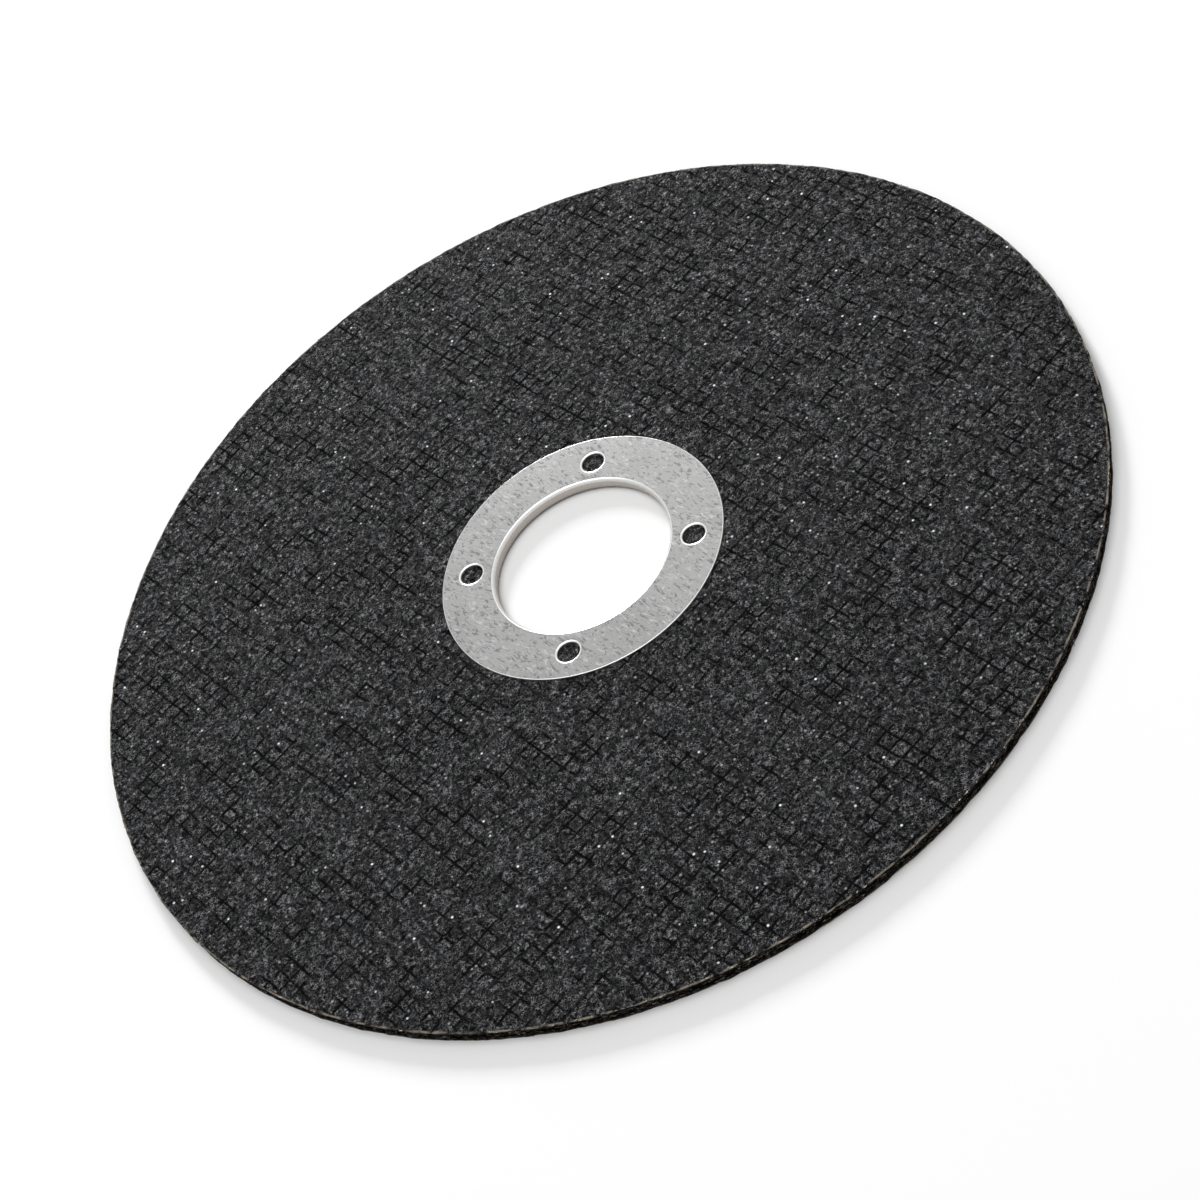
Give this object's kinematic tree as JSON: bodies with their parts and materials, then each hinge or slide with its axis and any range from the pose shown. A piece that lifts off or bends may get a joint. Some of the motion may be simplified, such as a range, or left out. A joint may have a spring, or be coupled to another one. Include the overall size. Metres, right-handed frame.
{
  "type": "abrasive disc",
  "caption": "Thin flat cutting disc of bonded abrasive between woven glass fabrics, with a pressed steel centre ring and arbor bore.",
  "frame": {"origin": "bore axis at the plane the disc's rear face rests on", "axes": "+Z along the bore axis, out of the face that carries the centre ring; X along the fabric's weft yarns"},
  "size_m": [0.125, 0.125, 0.0017],
  "materials": {
    "bonded_abrasive": "rough dark bonded grain",
    "coated_glass_fabric": "black resin and grit over woven glass",
    "plated_steel": "zinc plated sheet, lightly flecked"
  },
  "bodies": {
    "root": {"abrasive_core": "bonded_abrasive", "front_glass_mesh": "coated_glass_fabric", "rear_glass_mesh": "coated_glass_fabric", "centre_ring": "plated_steel"}
  },
  "joints": []
}
